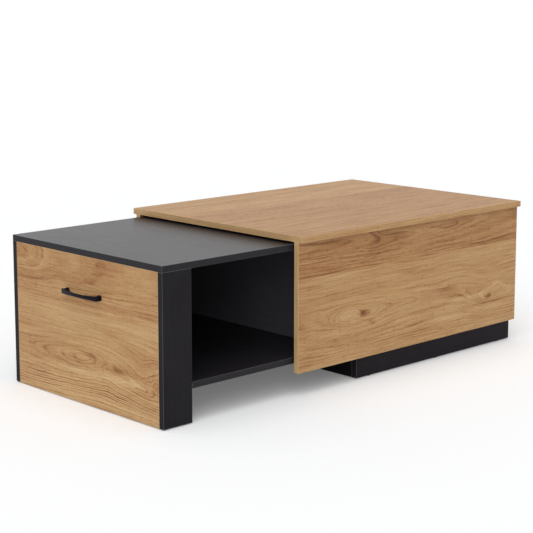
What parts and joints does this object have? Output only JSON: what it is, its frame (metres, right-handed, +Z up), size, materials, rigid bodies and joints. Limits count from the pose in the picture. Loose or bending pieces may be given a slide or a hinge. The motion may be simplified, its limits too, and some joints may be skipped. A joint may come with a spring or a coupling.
{
  "type": "extendable coffee table",
  "caption": "Low rectangular coffee table whose black pull-out rolls out of an oak-decor shell on a plinth, lengthening the top and opening a side compartment.",
  "frame": {"origin": "on the floor under the middle of the table, pulled out as it stands at rest, handle included", "axes": "+X from the handle to the closed end, +Y to the closed long side of the pull-out, +Z up"},
  "size_m": [1.328, 0.658, 0.408],
  "materials": {
    "oak_board": "oak-decor melamine on particle board, matt with fine pores",
    "black_board": "black melamine on particle board, satin with a fine pore",
    "black_handle": "die-cast zinc, black powder coat",
    "beech": "turned and sawn beech, raw",
    "black_plastic": "moulded polyethylene",
    "zinc_cam": "die-cast zinc, tumbled",
    "zinc_steel": "zinc-plated steel",
    "nylon": "moulded natural nylon",
    "grey_rubber": "moulded soft rubber"
  },
  "bodies": {
    "shell": {"shell_top": "oak_board", "shell_side_near": "oak_board", "shell_side_far": "oak_board", "shell_end_panel": "oak_board", "shell_bottom": "black_board", "plinth_rail_near": "black_board", "plinth_rail_far": "black_board", "plinth_cross_inner": "black_board", "plinth_cross_outer": "black_board", "plinth_corner_blocks": "beech", "plinth_screws": "zinc_steel", "plinth_glides": "black_plastic", "plinth_dowels": "beech", "shell_cams": "zinc_cam", "shell_cam_bolts": "zinc_steel", "shell_dowels": "beech", "shell_stop": "black_plastic", "shell_stop_screws": "zinc_steel"},
    "pullout": {"front_panel": "oak_board", "pullout_top": "black_board", "pullout_shelf": "black_board", "pullout_rear_panel": "black_board", "pullout_back_panel": "black_board", "pullout_leg_near": "black_board", "pullout_leg_far": "black_board", "castor_blocks": "black_board", "handle": "black_handle", "pullout_dowels": "beech", "pullout_stop": "black_plastic", "rear_glides": "black_plastic", "side_glides": "black_plastic", "pullout_cams": "zinc_cam", "pullout_cam_bolts": "zinc_steel", "handle_screws": "zinc_steel", "castor_screws": "zinc_steel", "castor_block_screws": "zinc_steel", "pullout_stop_screws": "zinc_steel", "castor_fork_near": "zinc_steel", "castor_fork_far": "zinc_steel", "castor_axle_near": "zinc_steel", "castor_axle_far": "zinc_steel"},
    "castor_near": {"castor_wheel_near": "nylon", "castor_tyre_near": "grey_rubber"},
    "castor_far": {"castor_wheel_far": "nylon", "castor_tyre_far": "grey_rubber"}
  },
  "joints": [
    {"name": "pullout_slide", "type": "slide", "parent": "shell", "child": "pullout", "axis": [1, 0, 0], "range_m": [0, 0.419]},
    {"name": "castor_near_roll", "type": "hinge", "parent": "pullout", "child": "castor_near", "pos_m": [-0.588, -0.2515, 0.025], "axis": [0, 1, 0], "continuous": true},
    {"name": "castor_far_roll", "type": "hinge", "parent": "pullout", "child": "castor_far", "pos_m": [-0.588, 0.2515, 0.025], "axis": [0, 1, 0], "continuous": true}
  ],
  "couplings": [
    {"joint": "castor_near_roll", "follows": "pullout_slide", "rad_per_m": 40},
    {"joint": "castor_far_roll", "follows": "pullout_slide", "rad_per_m": 40}
  ]
}
